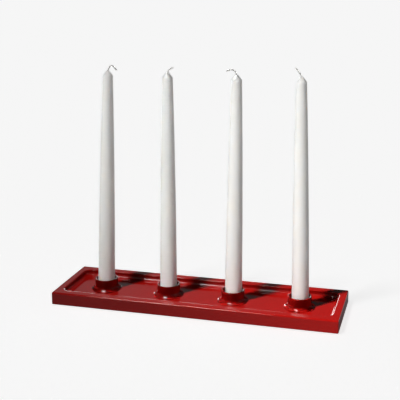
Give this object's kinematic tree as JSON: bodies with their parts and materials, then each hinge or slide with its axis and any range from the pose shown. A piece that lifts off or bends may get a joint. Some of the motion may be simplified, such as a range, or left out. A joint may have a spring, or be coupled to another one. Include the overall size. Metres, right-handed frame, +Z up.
{
  "type": "advent candle holder",
  "caption": "Long low glossy red tray with a flat rim and a sunken floor, and a row of flared cups that hold tall white taper candles upright.",
  "frame": {"origin": "on the table top, under the middle of the tray", "axes": "+X along the row of candles to the right, +Y from front to back, +Z up"},
  "size_m": [0.375, 0.104, 0.3141],
  "materials": {
    "red_enamel": "high gloss enamel",
    "candle_wax": "smooth satin wax",
    "wick_cotton": "waxed cotton braid",
    "zinc_steel": "bright zinc plate",
    "foot_rubber": "matt moulded rubber"
  },
  "bodies": {
    "holder": {"tray": "red_enamel", "candle_cup_1": "red_enamel", "candle_cup_2": "red_enamel", "candle_cup_3": "red_enamel", "candle_cup_4": "red_enamel", "cup_screws": "zinc_steel", "cup_washers": "zinc_steel", "foot_front_left": "foot_rubber", "foot_front_right": "foot_rubber", "foot_back_left": "foot_rubber", "foot_back_right": "foot_rubber"},
    "taper_1": {"candle_1": "candle_wax", "wick_1": "wick_cotton"},
    "taper_2": {"candle_2": "candle_wax", "wick_2": "wick_cotton"},
    "taper_3": {"candle_3": "candle_wax", "wick_3": "wick_cotton"},
    "taper_4": {"candle_4": "candle_wax", "wick_4": "wick_cotton"}
  },
  "joints": [
    {"name": "candle_lift_1", "type": "slide", "parent": "holder", "child": "taper_1", "axis": [0, 0, 1], "range_m": [0, 0.03]},
    {"name": "candle_lift_2", "type": "slide", "parent": "holder", "child": "taper_2", "axis": [0, 0, 1], "range_m": [0, 0.03]},
    {"name": "candle_lift_3", "type": "slide", "parent": "holder", "child": "taper_3", "axis": [0, 0, 1], "range_m": [0, 0.03]},
    {"name": "candle_lift_4", "type": "slide", "parent": "holder", "child": "taper_4", "axis": [0, 0, 1], "range_m": [0, 0.03]}
  ]
}
